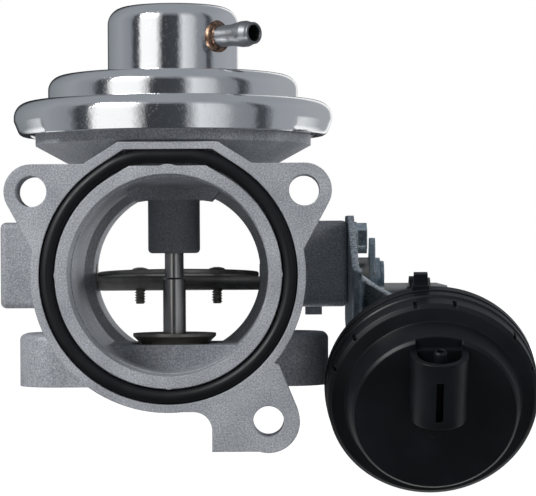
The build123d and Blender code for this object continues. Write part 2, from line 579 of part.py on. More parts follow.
def make_capsule_diaphragm():
    """Rolling membrane between the two shells."""
    web = spun_sheet([(2.2, PISTON_U), (18.4, PISTON_U), (18.4, PISTON_U + 6.0), (22.4, PISTON_U + 6.0),
                      (22.4, -0.4), (27.6, -0.4)], [1.6, 1.8, 1.8, 1.6], 0.7)
    return CAPSULE * web


def make_piston():
    """Spring cup on the rod, inside the membrane."""
    cup = spun_sheet([(2.0, PISTON_U + 1.3), (16.6, PISTON_U + 1.3), (16.6, PISTON_U + 7.0)], [1.6], 1.4)
    return CAPSULE * cup


def make_rod():
    """Pull rod from the piston to the eye."""
    rod = along_z(ROD_R, EYE_U + 5.0, PISTON_U + 4.0)
    low, high = PISTON_U - 1.4, PISTON_U - 0.5
    collar = turned([(ROD_R, low), (5.5, low), (5.5, high), (ROD_R, high)])
    return CAPSULE * (rod + collar)


def make_rod_eye():
    """Moulded rod end with an oblong eye across the rod."""
    play = 0.35
    slack = (CRANK_R - CHORD_DEPTH) / 2
    slot_r = PIN_R + play
    across = Plane(origin=(0, 0, EYE_U), x_dir=(0, 1, 0), z_dir=(1, 0, 0))
    ends = (Pos(slack, 0) * Circle(slot_r + 1.7)) + (Pos(-slack, 0) * Circle(slot_r + 1.7))
    slot = (Pos(slack, 0) * Circle(slot_r)) + (Pos(-slack, 0) * Circle(slot_r))
    eye = extrude(across * make_hull(ends.edges()), 1.95, both=True)
    neck = along_z(2.8, EYE_U + 3.0, EYE_U + 12.0)
    cheek = block((-2.8, 2.8), (-3.6, 3.6), (EYE_U + 2.6, EYE_U + 5.6))
    eye += neck + fillet(cheek.edges().filter_by(Axis.X), 0.8)
    eye -= extrude(across * make_hull(slot.edges()), 6, both=True)
    return CAPSULE * (eye - along_z(ROD_R, EYE_U + 5.0, EYE_U + 13))


def make_capsule_nuts():
    """Nuts on the two studs of the rear shell."""
    nuts = None
    for v in (-STUD_V, STUD_V):
        nut = Pos(0, v, PLATE_U - SHEET_T / 2 - 4.0) * extrude(RegularPolygon(4.3, 6), 4.0)
        nut -= Pos(0, v, PLATE_U) * Cylinder(2.5, 20)
        nuts = nut if nuts is None else nuts + nut
    return CAPSULE * nuts


def make_capsule_studs():
    """Steel studs moulded into the rear shell."""
    studs = None
    for v in (-STUD_V, STUD_V):
        stud = along_z(2.5, PLATE_U - SHEET_T / 2 - 6.0, BACK_U, 0, v)
        studs = stud if studs is None else studs + stud
    return CAPSULE * studs


# ---------------------------------------------------------------- assembly
def assemble():
    """All pieces by node name."""
    plate_low, plate_high = make_plates()
    spring_low = PLATE_Z + 1.6 + 1.2
    return {
        "housing": make_housing(),
        "manifold_o_ring": make_o_ring(),
        "valve_seat": make_seat(),
        "stem_guide": STEM * (along_z(5.0, 7.0, 31.0) - along_z(STEM_R + GUIDE_CLEARANCE, 0, 40)),
        "stem_seal": STEM * (along_z(6.5, 31.0, BOWL_FLOOR - 0.2) - along_z(STEM_R + GUIDE_CLEARANCE, 0, 40)),
        "vacuum_cap": make_cap(),
        "hose_nipple": make_nipple(),
        "nipple_braze": make_braze(),
        "diaphragm": make_diaphragm(),
        "valve_spring": STEM * coil(13.0, 0.9, spring_low, CAP_TOP - CAP_T - spring_low - 1.0, 5),
        "poppet": make_poppet(),
        "valve_stem": make_stem(),
        "lower_plate": plate_low,
        "upper_plate": plate_high,
        "stem_nut": make_stem_nut(),
        "flap_shaft": make_shaft(),
        "flap_plate": make_flap(),
        "flap_screws": make_flap_screws(),
        "shaft_bush_left": make_bush(-46, -33),
        "shaft_bush_right": make_bush(33, 47),
        "shaft_seal_left": make_bush(-33, -30),
        "shaft_seal_right": make_bush(47, BOSS_RIGHT),
        "shaft_end_plug": make_end_plug(),
        "flap_lever": make_lever(),
        "lever_rivet": make_shaft_rivet(),
        "crank_pin": make_pin(),
        "pin_clip": make_pin_clip(),
        "capsule_bracket": make_bracket(),
        "bracket_screws": make_bracket_screws(),
        "capsule_front_shell": make_front_shell(),
        "vacuum_port": make_port(),
        "capsule_rear_shell": make_rear_shell(),
        "capsule_diaphragm": make_capsule_diaphragm(),
        "capsule_spring": CAPSULE * coil(11.5, 0.8, PISTON_U + 3.0, FACE_U - 2.2 - PISTON_U - 4.0, 4),
        "capsule_piston": make_piston(),
        "pull_rod": make_rod(),
        "rod_eye": make_rod_eye(),
        "capsule_studs": make_capsule_studs(),
        "capsule_nuts": make_capsule_nuts(),
    }


os.makedirs("parts", exist_ok=True)
for node, shape in assemble().items():
    export_step(shape, f"parts/{node}.step")
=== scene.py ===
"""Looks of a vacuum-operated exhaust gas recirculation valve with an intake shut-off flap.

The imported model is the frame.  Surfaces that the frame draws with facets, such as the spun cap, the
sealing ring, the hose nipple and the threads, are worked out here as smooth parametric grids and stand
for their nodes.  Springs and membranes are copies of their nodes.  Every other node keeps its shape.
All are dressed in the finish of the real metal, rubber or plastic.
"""
import json
import logging
from collections.abc import Sequence
from dataclasses import dataclass
from enum import Enum
from math import pi, radians
from typing import Any

import bmesh
import bpy
import numpy as np
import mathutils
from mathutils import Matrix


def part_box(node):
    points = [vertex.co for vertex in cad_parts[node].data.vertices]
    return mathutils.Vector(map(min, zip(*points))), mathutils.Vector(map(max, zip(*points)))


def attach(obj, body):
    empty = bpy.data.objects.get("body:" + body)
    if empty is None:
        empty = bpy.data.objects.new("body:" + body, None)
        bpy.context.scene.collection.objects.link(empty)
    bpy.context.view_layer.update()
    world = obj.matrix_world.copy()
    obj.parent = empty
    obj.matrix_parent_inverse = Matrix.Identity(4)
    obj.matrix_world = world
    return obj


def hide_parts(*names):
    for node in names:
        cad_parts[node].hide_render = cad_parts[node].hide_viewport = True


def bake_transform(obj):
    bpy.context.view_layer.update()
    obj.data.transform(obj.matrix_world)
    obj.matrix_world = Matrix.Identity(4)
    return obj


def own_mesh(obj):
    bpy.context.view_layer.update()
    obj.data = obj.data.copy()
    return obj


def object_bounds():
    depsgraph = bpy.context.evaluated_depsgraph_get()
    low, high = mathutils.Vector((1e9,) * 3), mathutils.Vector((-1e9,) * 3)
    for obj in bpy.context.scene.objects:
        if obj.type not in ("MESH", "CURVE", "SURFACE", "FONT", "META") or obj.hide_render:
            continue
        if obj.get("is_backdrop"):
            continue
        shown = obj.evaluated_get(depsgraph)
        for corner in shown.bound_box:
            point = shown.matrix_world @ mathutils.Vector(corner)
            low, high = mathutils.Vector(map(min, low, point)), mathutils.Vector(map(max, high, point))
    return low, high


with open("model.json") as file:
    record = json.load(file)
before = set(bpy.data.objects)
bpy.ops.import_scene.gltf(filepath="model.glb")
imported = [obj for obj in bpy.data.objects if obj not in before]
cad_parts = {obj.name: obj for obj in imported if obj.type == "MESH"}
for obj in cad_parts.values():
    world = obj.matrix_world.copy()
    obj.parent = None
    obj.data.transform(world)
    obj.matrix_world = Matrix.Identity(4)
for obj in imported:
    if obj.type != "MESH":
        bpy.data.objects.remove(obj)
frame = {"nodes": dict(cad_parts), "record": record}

LOG = logging.getLogger("egr_valve")
MM = 0.001
IMAGE_WIDTH, IMAGE_HEIGHT = 536, 496
WELD = 2e-7  # metres between the points of a mesh that count as one
SAME_POINT = 1e-6  # millimetres between the points of an outline that count as one
DIGITS = 7  # decimals that tell distances along an outline apart
NOISE_RANGE = (0.3, 0.7)  # where most of a noise's values lie
MIX_SOCKETS = {"FLOAT": (2, 3, 0), "RGBA": (6, 7, 2)}  # both inputs and the result of a mix
WHITE = (1.0, 1.0, 1.0, 1.0)
Vector = tuple[float, float, float]
Tree = bpy.types.NodeTree


# ---- numbers and meshes
def box_of(node: str) -> tuple[np.ndarray, np.ndarray]:
    """Lowest and highest corner of a frame node.

    Args:
        node: Name of the node.

    Returns:
        The two corners, in metres.
    """
    low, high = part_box(node)
    return np.array(low), np.array(high)


def smooth_step(x: np.ndarray, low: float, high: float) -> np.ndarray:
    """Rises from 0 at low to 1 at high as 3t^2 - 2t^3."""
    t = np.clip((x - low) / (high - low), 0.0, 1.0)
    return t * t * (3.0 - 2.0 * t)


def rounded(corners: Sequence[tuple[float, float]], radii: Sequence[float], steps: int) -> np.ndarray:
    """Rounds the inner corners of an open outline.

    A corner with radius r between directions d1 and d2, which turn by an angle a, becomes the arc
    start + r (sin(p) d1 + (1 - cos(p)) n1) for p from 0 to a, where the start lies r tan(a / 2) before
    the corner and n1 is d1 turned a quarter to the side of the bend.

    Args:
        corners: Points of the outline.
        radii: Radius at each corner but the first and last; 0 keeps it sharp.
        steps: Number of spans in each arc.

    Returns:
        The outline's points, one row each.
    """
    c = np.array(corners, dtype=float)
    r = np.array(radii, dtype=float)[:, None]
    step = np.diff(c, axis=0)
    unit = step / np.linalg.norm(step, axis=1, keepdims=True)
    before, after = unit[:-1], unit[1:]
    cross = before[:, 0] * after[:, 1] - before[:, 1] * after[:, 0]
    turn = np.arctan2(cross, (before * after).sum(axis=1))[:, None]
    side = np.stack([-before[:, 1], before[:, 0]], axis=1) * np.sign(turn)
    start = c[1:-1] - before * r * np.tan(np.abs(turn) / 2)
    p = np.linspace(0.0, 1.0, steps + 1)[None, :] * np.abs(turn)
    arcs = (start[:, None] + r[:, None] * (np.sin(p)[..., None] * before[:, None]
                                           + (1 - np.cos(p))[..., None] * side[:, None]))
    line = np.concatenate([c[:1], arcs.reshape(-1, 2), c[-1:]])
    moved = np.linalg.norm(np.diff(line, axis=0), axis=1) > SAME_POINT
    return line[np.concatenate([[True], moved])]


def distances(line: np.ndarray) -> np.ndarray:
    """Distance of each point of an outline from its start, along the outline."""
    return np.concatenate([[0.0], np.cumsum(np.linalg.norm(np.diff(line, axis=0), axis=1))])


def points_at(line: np.ndarray, at: np.ndarray) -> np.ndarray:
    """Points of an outline at some distances along it."""
    length = distances(line)
    return np.stack([np.interp(at, length, column) for column in line.T], axis=1)


def dense(line: np.ndarray, spacing: float) -> np.ndarray:
    """Adds points along the straight runs of an outline, at most one spacing apart.

    Args:
        line: Points of the outline.
        spacing: Largest distance between neighbours.

    Returns:
        The outline with the added points.
    """
    length = distances(line)
    extra = np.linspace(0.0, length[-1], int(length[-1] / spacing) + 2)
    return points_at(line, np.unique(np.round(np.concatenate([length, extra]), DIGITS)))


def thickened(middle: np.ndarray, thickness: float) -> np.ndarray:
    """Both sides of a sheet: its middle line plus and minus half the thickness along the normal.

    Args:
        middle: Array (..., n, 2) of middle lines.
        thickness: Sheet thickness.

    Returns:
        Array (..., 2 n, 2): one side forwards, then the other backwards.
    """
    along = np.gradient(middle, axis=-2)
    along /= np.linalg.norm(along, axis=-1, keepdims=True)
    normal = np.stack([-along[..., 1], along[..., 0]], axis=-1) * (thickness / 2)
    return np.concatenate([middle + normal, (middle - normal)[..., ::-1, :]], axis=-2)


def spun(profile: np.ndarray, turns: np.ndarray) -> np.ndarray:
    """Surface of revolution about Z: (r cos u, r sin u, z) for each angle u and profile point (r, z).

    Args:
        profile: Array (n, 2), or (m, n, 2) when it changes with the angle.
        turns: The m angles.

    Returns:
        Grid (m, n, 3).
    """
    r, z = profile[..., 0], profile[..., 1]
    u = turns[:, None]
    return np.stack([r * np.cos(u), r * np.sin(u), np.broadcast_to(z, (len(turns), r.shape[-1]))], axis=-1)


def full_turn(count: int) -> np.ndarray:
    """Angles of a full turn, without the last, which meets the first."""
    return np.linspace(0.0, 2 * pi, count, endpoint=False)


@dataclass(frozen=True)
class Seat:
    """Where a part made about Z stands: an origin and the directions of its own X and Z.

    Attributes:
        origin: Origin in metres.
        x_axis: Direction of the part's X.
        z_axis: Direction of the part's Z.
    """

    origin: Vector
    x_axis: Vector = (1.0, 0.0, 0.0)
    z_axis: Vector = (0.0, 0.0, 1.0)

    def place(self, grid_mm: np.ndarray) -> np.ndarray:
        """Moves points from the part's own millimetres to metres in the frame.

        Args:
            grid_mm: Points about the part's own Z axis.

        Returns:
            The points in the frame: origin + x X + y (Z cross X) + z Z.
        """
        x, z = np.array(self.x_axis), np.array(self.z_axis)
        turn = np.stack([x, np.cross(z, x), z])
        return grid_mm * MM @ turn + np.array(self.origin)


def weld(mesh: bpy.types.Mesh, outwards: bool = False) -> None:
    """Joins the points of a mesh that coincide, and turns its faces outwards if asked."""
    shape = bmesh.new()
    shape.from_mesh(mesh)
    bmesh.ops.remove_doubles(shape, verts=shape.verts, dist=WELD)
    if outwards:
        bmesh.ops.recalc_face_normals(shape, faces=shape.faces)
    shape.to_mesh(mesh)
    shape.free()


def add_object(name: str, data: bpy.types.ID) -> bpy.types.Object:
    """Makes an object from a mesh, lamp or camera, links it to the scene and returns it."""
    thing = bpy.data.objects.new(name, data)
    bpy.context.scene.collection.objects.link(thing)
    return thing


def surface(name: str, grids: list[np.ndarray], wrap_v: bool = False) -> bpy.types.Object:
    """Makes a closed mesh from grids of points that wrap round in u.

    Corner (i, j) joins (i+1, j), (i+1, j+1) and (i, j+1).  Poles, where a whole ring is one point, are
    welded, and the faces are turned outwards.

    Args:
        name: Name of the new object.
        grids: Arrays (m, n, 3) in metres.
        wrap_v: Whether the profile closes on itself too.

    Returns:
        The new object, at the origin.
    """
    vertices, faces, base = [], [], 0
    for grid in grids:
        m, n = grid.shape[:2]
        i, j = np.meshgrid(np.arange(m), np.arange(n if wrap_v else n - 1), indexing="ij")
        i1, j1 = (i + 1) % m, (j + 1) % n
        corners = np.stack([i * n + j, i1 * n + j, i1 * n + j1, i * n + j1], axis=-1)
        faces.append(corners.reshape(-1, 4) + base)
        vertices.append(grid.reshape(-1, 3))
        base += m * n
    mesh = bpy.data.meshes.new(name)
    mesh.from_pydata(np.concatenate(vertices), [], np.concatenate(faces))
    weld(mesh, outwards=True)
    mesh.polygons.foreach_set("use_smooth", np.ones(len(mesh.polygons), dtype=bool))
    return add_object(name, mesh)


def settle(piece: bpy.types.Object, body: str, finish: "Finish", slot: str, *nodes: str) -> None:
    """Rides a new piece on its body, in place of the nodes it stands for, in its finish.

    Args:
        piece: The new object.
        body: Body that it moves with.
        finish: Finish of its surface.
        slot: Material slot of the record; not used.
        nodes: Frame nodes that it stands for.
    """
    piece.data.materials.append(finish.material())
    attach(piece, body)
    if nodes:
        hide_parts(*nodes)
    LOG.info("%s: %d faces on %s", piece.name, len(piece.data.polygons), body)


# ---- materials
def linear(code: str) -> tuple[float, float, float, float]:
    """Turns an sRGB hex colour into linear red, green, blue and alpha, by the standard sRGB curve.

    Args:
        code: Six hex digits after a hash.

    Returns:
        The linear colour.
    """
    parts = np.array([int(code[k:k + 2], 16) for k in (1, 3, 5)]) / 255.0
    value = np.where(parts <= 0.04045, parts / 12.92, ((parts + 0.055) / 1.055) ** 2.4)
    return (*(float(v) for v in value), 1.0)


def add_node(tree: Tree, kind: str, inputs: dict[Any, Any] | None = None,
             **settings: Any) -> Any:
    """Adds a shader node with its settings, values and links.

    Args:
        tree: Node tree that gets the node.
        kind: Node type after "ShaderNode".
        inputs: Socket name or number to a value, or to an output socket that is linked.
        settings: Properties of the node.

    Returns:
        The new node.
    """
    node = tree.nodes.new("ShaderNode" + kind)
    for key, value in settings.items():
        setattr(node, key, value)
    for key, value in (inputs or {}).items():
        if isinstance(value, bpy.types.NodeSocket):
            tree.links.new(value, node.inputs[key])
        else:
            node.inputs[key].default_value = value
    return node


def ramp(tree: Tree, factor: Any, stops: Sequence[tuple[float, str]]) -> Any:
    """Adds a colour ramp and returns its colour output.

    Args:
        tree: Node tree that gets the ramp.
        factor: Socket that drives it.
        stops: Positions and hex colours.

    Returns:
        The colour socket.
    """
    node = add_node(tree, "ValToRGB", {"Fac": factor})
    elements = node.color_ramp.elements
    while len(elements) < len(stops):
        elements.new(0.5)
    for element, (position, code) in zip(elements, stops):
        element.position = position
        element.color = linear(code)
    return node.outputs["Color"]


def spread(tree: Tree, value: Any, low: float, high: float, to_low: float = 0.0, to_high: float = 1.0) -> Any:
    """Maps a value from one range to another, held at the ends.

    Args:
        tree: Node tree that gets the node.
        value: Socket to map.
        low: Input that gives to_low.
        high: Input that gives to_high.
        to_low: Output at low.
        to_high: Output at high.

    Returns:
        The mapped socket.
    """
    node = add_node(tree, "MapRange", {"Value": value, "From Min": low, "From Max": high,
                                       "To Min": to_low, "To Max": to_high})
    return node.outputs["Result"]


def vary(tree: Tree, value: Any, to_low: float, to_high: float) -> Any:
    """Maps a noise's usual values to a range from to_low to to_high, and returns the socket."""
    return spread(tree, value, *NOISE_RANGE, to_low, to_high)


def noise(tree: Tree, place: Any, size_mm: float, detail: float = 2.0,
          rough: float = 0.5) -> Any:
    """Adds noise whose blotches are about size_mm across, and returns its value.

    Args:
        tree: Node tree that gets the noise.
        place: Coordinate socket, in metres.
        size_mm: Size of a blotch.
        detail: Octaves of finer detail.
        rough: Strength of the finer octaves.

    Returns:
        The value socket.
    """
    node = add_node(tree, "TexNoise", {"Vector": place, "Scale": 1.0 / (size_mm * MM), "Detail": detail,
                                       "Roughness": rough})
    return node.outputs["Fac"]


def mix(tree: Tree, share: Any, first: Any, second: Any, data_type: str = "RGBA") -> Any:
    """Mixes two colours, or two values where data_type is "FLOAT", and returns the mixed socket."""
    one, other, result = MIX_SOCKETS[data_type]
    node = add_node(tree, "Mix", {"Factor": share, one: first, other: second}, data_type=data_type)
    return node.outputs[result]


def maths(tree: Tree, operation: str, first: Any, second: Any) -> Any:
    """Works out an operation on two sockets or values, and returns its socket."""
    return add_node(tree, "Math", {0: first, 1: second}, operation=operation).outputs[0]


def blank_tree(owner: bpy.types.Material | bpy.types.World) -> Tree:
    """Switches on the nodes of a material or world, empties them and returns their tree."""
    owner.use_nodes = True
    owner.node_tree.nodes.clear()
    return owner.node_tree


@dataclass(frozen=True)
class Finish:
    """A surface finish.

    Attributes:
        name: Name of the material, after the real one and how it was made.
        base: sRGB hex colour.
        metallic: 1 for bare or plated metal.
        roughness: Mean roughness.
        edge_mm: Radius that edges show; 0 leaves them sharp.
        relief_mm: Height of the surface relief.
    """

    name: str
    base: str
    metallic: float = 1.0
    roughness: float = 0.4
    edge_mm: float = 0.25
    relief_mm: float = 0.02

    def pattern(self, tree: Tree, place: Any) -> dict[str, Any]:
        """Sockets for "Base Color", "Roughness" and "Height"; a finish gives those it varies."""
        return {}

    def values(self) -> dict[str, Any]:
        """Further values on the shader's own sockets."""
        return {}

    def material(self) -> bpy.types.Material:
        """Builds the material once and returns it."""
        if self.name in bpy.data.materials:
            return bpy.data.materials[self.name]
        made = bpy.data.materials.new(self.name)
        tree = blank_tree(made)
        place = add_node(tree, "TexCoord").outputs["Object"]
        shown = self.pattern(tree, place)
        height = shown.pop("Height", None)
        inputs = {"Base Color": linear(self.base), "Metallic": self.metallic,
                  "Roughness": self.roughness, **self.values(), **shown}
        normal: dict[str, Any] = {}
        if self.edge_mm > 0:
            bevel = add_node(tree, "Bevel", {"Radius": self.edge_mm * MM}, samples=6)
            normal = {"Normal": bevel.outputs["Normal"]}
        if height is not None:
            bump = add_node(tree, "Bump", {"Height": height, "Distance": self.relief_mm * MM,
                                           "Strength": 1.0, **normal})
            normal = {"Normal": bump.outputs["Normal"]}
        shader = add_node(tree, "BsdfPrincipled", {**inputs, **normal})
        add_node(tree, "OutputMaterial", {"Surface": shader.outputs["BSDF"]})
        return made


@dataclass(frozen=True)
class BlastedCasting(Finish):
    """Die-cast aluminium, shot-blasted: an even grey with a sparkling fine grain and faint clouds.

    Shade is painted round the valve stem's guide, deep in the bore: the colour darkens there.

    Attributes:
        grit_mm: Pit spacing.  Real pits are about 0.3 mm; they are drawn a little coarser to show.
        cloud_share: Share of the coarse clouds in the colour.
        dark_tone: Lowest tone of the grain.
        pale_tone: Highest tone of the grain; the base colour lies between.
        painted_shade_tone: Colour of the painted shade round the guide.
        guide_y: Place of the stem's axis along the bore.
        dark_reach: Distances from that axis where the darkening starts to fade and where it ends.
        dark_low: Heights between which it comes in.
        dark_high: Heights between which it goes out.
        dark_share: Its strength.
    """

    grit_mm: float = 0.42
    cloud_share: float = 0.3
    dark_tone: str = "#80838a"
    pale_tone: str = "#c8cbd1"
    painted_shade_tone: str = "#54565a"
    guide_y: float = 42.0
    dark_reach: tuple[float, float] = (9.0, 17.0)
    dark_low: tuple[float, float] = (0.0, 4.0)
    dark_high: tuple[float, float] = (28.0, 31.0)
    dark_share: float = 0.6

    def pattern(self, tree: Tree, place: Any) -> dict[str, Any]:
        """Grain from fine noise, clouds from a coarse one, pits as relief, and painted shade round the guide.
        """
        grit = noise(tree, place, self.grit_mm, detail=2.0, rough=0.6)
        cloud = noise(tree, place, size_mm=14.0, detail=3.0)
        both = mix(tree, self.cloud_share, grit, cloud, "FLOAT")
        colour = ramp(tree, both, [(0.34, self.dark_tone), (0.50, self.base), (0.66, self.pale_tone)])
        rough = vary(tree, grit, self.roughness + 0.1, self.roughness - 0.08)
        plan = add_node(tree, "Mapping", {"Vector": place, "Scale": (1.0, 1.0, 0.0),
                                          "Location": (0.0, -self.guide_y * MM, 0.0)}).outputs["Vector"]
        away = add_node(tree, "VectorMath", {0: plan}, operation="LENGTH").outputs["Value"]
        height = add_node(tree, "SeparateXYZ", {0: place}).outputs["Z"]
        # Painted shade: the colour darkens round the stem's guide, between the given heights, where the bore
        # lies in shade.
        dark: Any = self.dark_share
        for value, (start, end), first, last in ((away, self.dark_reach, 1.0, 0.0),
                                                 (height, self.dark_low, 0.0, 1.0),
                                                 (height, self.dark_high, 1.0, 0.0)):
            dark = maths(tree, "MULTIPLY", spread(tree, value, start * MM, end * MM, first, last), dark)
        return {"Base Color": mix(tree, dark, colour, linear(self.painted_shade_tone)), "Roughness": rough, "Height": grit}


@dataclass(frozen=True)
class Polymer(Finish):
    """Rubber or plastic, whose surface reflects little.

    Attributes:
        ior: Index of refraction.
    """

    metallic: float = 0.0
    ior: float = 1.52

    def values(self) -> dict[str, Any]:
        """The index of refraction and a low share of mirror image."""
        return {"IOR": self.ior, "Specular IOR Level": 0.3}


@dataclass(frozen=True)
class MouldedRubber(Polymer):
    """Nitrile rubber, moulded and lightly oiled: near black with a soft broad gloss."""

    def pattern(self, tree: Tree, place: Any) -> dict[str, Any]:
        """Dusty and oily patches change the gloss."""
        patch = noise(tree, place, size_mm=6.0, detail=3.0)
        return {"Roughness": vary(tree, patch, self.roughness - 0.06, self.roughness + 0.1),
                "Height": noise(tree, place, size_mm=0.4)}


@dataclass(frozen=True)
class BrightPlating(Finish):
    """Deep-drawn steel with bright plating: a mirror with slight orange peel and frosted specks.

    Attributes:
        peel_mm: Width of the orange peel's waves.
    """

    peel_mm: float = 1.6

    def pattern(self, tree: Tree, place: Any) -> dict[str, Any]:
        """Orange peel and a trace of frost as relief; fine specks a little duller."""
        peel = noise(tree, place, self.peel_mm, detail=2.0, rough=0.55)
        speck = noise(tree, place, size_mm=0.5, detail=1.0)
        rough = spread(tree, speck, 0.25, 0.42, self.roughness + 0.14, self.roughness)
        frost = noise(tree, place, size_mm=0.3, detail=1.0)
        return {"Roughness": rough, "Height": mix(tree, 0.15, peel, frost, "FLOAT")}


@dataclass(frozen=True)
class TurnedSteel(Finish):
    """Turned or ground steel: fine lines round the axis, which streak the highlights.

    Attributes:
        line_mm: Spacing of the tool lines.
        axis: Axis that the part was turned about, 0, 1 or 2.
        stain: Share of brown stain where it is deepest.
        unevenness: How far the roughness strays.
        stain_tone: Colour of the stain.
    """

    line_mm: float = 0.3
    axis: int = 2
    stain: float = 0.3
    unevenness: float = 0.1
    stain_tone: str = "#5c5750"

    def pattern(self, tree: Tree, place: Any) -> dict[str, Any]:
        """Noise squeezed along the axis gives lines round it."""
        squeeze = [0.15] * 3
        squeeze[self.axis] = 1.0
        scaled = add_node(tree, "Mapping", {"Vector": place, "Scale": tuple(squeeze)}).outputs["Vector"]
        line = noise(tree, scaled, self.line_mm, detail=2.0, rough=0.6)
        stain = noise(tree, place, size_mm=3.0, detail=3.0)
        rough = vary(tree, line, self.roughness - 0.7 * self.unevenness, self.roughness + self.unevenness)
        share = spread(tree, stain, 0.45, 0.75, 0.0, self.stain)
        return {"Base Color": mix(tree, share, linear(self.base), linear(self.stain_tone)),
                "Roughness": rough, "Height": line}


@dataclass(frozen=True)
class BlueZinc(Finish):
    """Zinc plate with a blue passivation: pale metal with faint blue, green and straw clouds."""

    def pattern(self, tree: Tree, place: Any) -> dict[str, Any]:
        """Coarse clouds choose the tint, fine ones the roughness."""
        cloud = noise(tree, place, size_mm=5.0, detail=3.0)
        grain = noise(tree, place, size_mm=0.6, detail=2.0)
        colour = ramp(tree, cloud, [(0.32, "#8093a0"), (0.5, self.base), (0.66, "#b4bfc2")])
        rough = vary(tree, grain, self.roughness - 0.08, self.roughness + 0.1)
        return {"Base Color": colour, "Roughness": rough, "Height": grain}


@dataclass(frozen=True)
class ShearedZincLitEdges(BlueZinc):
    """Zinc-plated sheet whose sheared upper edges are rough and matt, with a painted highlight: their pale
    colour stands for the key light that falls on them.

    Attributes:
        edges: Outward direction of each sheared face, and its distance from the origin that way.
        skin: Depth over which the paleness comes in.
        tear_mm: Size of the dark and pale blotches in a sheared face's painted highlight.
        wall_face: Each edge with a part across lies beyond this place on X, clear of the side wall.
    """

    edges: tuple[tuple[Vector, float], ...] = (
        ((0.0, -0.388, 0.922), -10.15), ((0.6, -0.306, 0.739), 22.95), ((0.509, -0.33, 0.796), 16.73))
    skin: float = 0.25
    tear_mm: float = 0.9
    wall_face: float = 53.3

    def pattern(self, tree: Tree, place: Any) -> dict[str, Any]:
        """A point is on a sheared face where its height towards that face reaches the face's own."""
        shown = super().pattern(tree, place)
        beyond = add_node(tree, "SeparateXYZ", {0: place}).outputs["X"]
        beyond = spread(tree, beyond, self.wall_face * MM, (self.wall_face + self.skin) * MM)
        share: Any = 0.0
        for out, far in self.edges:
            reach = add_node(tree, "VectorMath", {0: place, 1: out},
                             operation="DOT_PRODUCT").outputs["Value"]
            part = spread(tree, reach, (far - 2 * self.skin) * MM, (far - self.skin) * MM)
            if out[0] > 0:
                part = maths(tree, "MULTIPLY", part, beyond)
            share = maths(tree, "MAXIMUM", part, share)
        # Painted highlight: the sheared faces that look up towards the key light are coloured near white for
        # the light they catch, and made less metallic, as rough sheared steel is.
        tears = noise(tree, place, self.tear_mm, detail=2.0, rough=0.6)
        torn_lit_edge = ramp(tree, tears, [(0.36, "#8390a0"), (0.62, "#e8f1f8")])
        return {**shown, "Base Color": mix(tree, share, shown["Base Color"], torn_lit_edge),
                "Metallic": spread(tree, share, 0.0, 1.0, 1.0, 0.4)}


@dataclass(frozen=True)
class MouldedNylon(Polymer):
    """Glass-filled nylon, moulded: charcoal black, fine satin texture with faint flow marks."""

    ior: float = 1.53

    def pattern(self, tree: Tree, place: Any) -> dict[str, Any]:
        """Spark-eroded mould texture as relief and slow changes of gloss."""
        texture = noise(tree, place, size_mm=0.45, detail=2.0, rough=0.6)
        flow = noise(tree, place, size_mm=12.0, detail=3.0)
        return {"Base Color": ramp(tree, flow, [(0.3, "#101115"), (0.7, self.base)]), "Height": texture,
                "Roughness": vary(tree, flow, self.roughness - 0.05, self.roughness + 0.06)}


@dataclass(frozen=True)
class CopperBraze(Finish):
    """Furnace-brazed copper: warm brown metal, glossy where it ran and dull where it oxidised."""

    def pattern(self, tree: Tree, place: Any) -> dict[str, Any]:
        """Oxide clouds over the copper."""
        oxide = noise(tree, place, size_mm=1.6, detail=3.0)
        colour = ramp(tree, oxide, [(0.35, "#4e3529"), (0.55, self.base), (0.7, "#b3957f")])
        rough = vary(tree, oxide, self.roughness + 0.2, self.roughness - 0.1)
        return {"Base Color": colour, "Roughness": rough, "Height": oxide}


CASTING = BlastedCasting("shot_blasted_cast_aluminium", "#a0a3a9", 0.22, 0.56, 0.5, 0.08)
RUBBER = MouldedRubber("moulded_nitrile_rubber", "#121317", roughness=0.42, edge_mm=0.0, relief_mm=0.01)
MEMBRANE = MouldedRubber("fabric_reinforced_rubber", "#222225", roughness=0.6, edge_mm=0.0)
BRIGHT = BrightPlating("bright_plated_drawn_steel", "#fafbfc", 1.0, 0.1, 0.0, 0.028)
SATIN_PLATE = BrightPlating("satin_plated_steel_tube", "#8f9194", 1.0, 0.46, 0.15, 0.006, 1.0)
BRAZE = CopperBraze("furnace_copper_braze", "#8c7262", 1.0, 0.42, 0.0, 0.08)
GROUND_STEEL = TurnedSteel("ground_valve_steel", "#aeaca9", 1.0, 0.24, 0.1, 0.0001, 1.0,
                           stain=0.08, unevenness=0.02)
HEAD_STEEL = TurnedSteel("turned_valve_head_steel", "#8f8c87", 1.0, 0.42, 0.15, 0.002, stain=0.2)
PIN_STEEL = TurnedSteel("turned_pin_steel", "#cfcdc9", 1.0, 0.45, 0.15, 0.003, 0.3, 0, 0.1)
SHAFT_STEEL = TurnedSteel("turned_shaft_steel", "#a5a29d", 1.0, 0.34, 0.15, 0.006, 0.35, 0)
SCREW_STEEL = TurnedSteel("dull_plated_screw_steel", "#bdbab3", 1.0, 0.42, 0.0, 0.002)
SPRING_STEEL = TurnedSteel("drawn_spring_wire", "#7a7a7b", 1.0, 0.35, 0.0, 0.004)
BRONZE = TurnedSteel("sintered_bronze", "#8a7556", 1.0, 0.5, 0.1, 0.01)
ZINC = BlueZinc("blue_passivated_zinc_plate", "#b4c0c8", 1.0, 0.32, 0.8, 0.002)
SHEARED_ZINC_LIT_EDGES = ShearedZincLitEdges("sheared_zinc_sheet_painted_edge_highlight", "#b4c0c8", 1.0, 0.32, 0.8, 0.002)
BRIGHT_ZINC = BlueZinc("bright_blue_zinc_screw", "#cfdde6", 1.0, 0.15, 0.4, 0.001)
NYLON = MouldedNylon("glass_filled_nylon_moulding", "#15171d", roughness=0.4, edge_mm=0.45, relief_mm=0.008)

